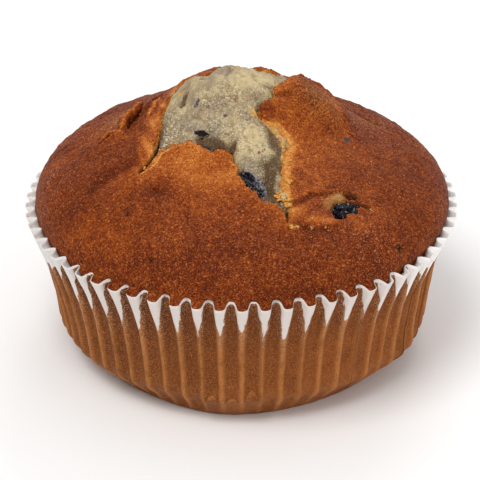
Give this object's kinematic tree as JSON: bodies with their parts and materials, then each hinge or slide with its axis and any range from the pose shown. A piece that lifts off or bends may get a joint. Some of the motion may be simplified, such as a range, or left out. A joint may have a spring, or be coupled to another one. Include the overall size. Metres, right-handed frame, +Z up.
{
  "type": "berry muffin",
  "caption": "Domed berry muffin baked in a fluted paper case, its browned top burst open over pale crumb, standing on a flat base.",
  "frame": {"origin": "middle of the paper case's flat base, where it stands", "axes": "+Z up, -Y towards the front, where the crack in the top runs down, +X to the right"},
  "size_m": [0.084, 0.084, 0.0538],
  "materials": {
    "cake": "browned cake crust, fine grained and matt, over pale crumb",
    "paper": "thin baking paper, white where it stands off the cake and soaked brown below",
    "berry": "baked blue-black berry skin, wet and wrinkled"
  },
  "bodies": {
    "root": {"muffin": "cake", "paper_case": "paper", "berry_crack": "berry", "berry_right": "berry", "berry_upper": "berry"}
  },
  "joints": []
}
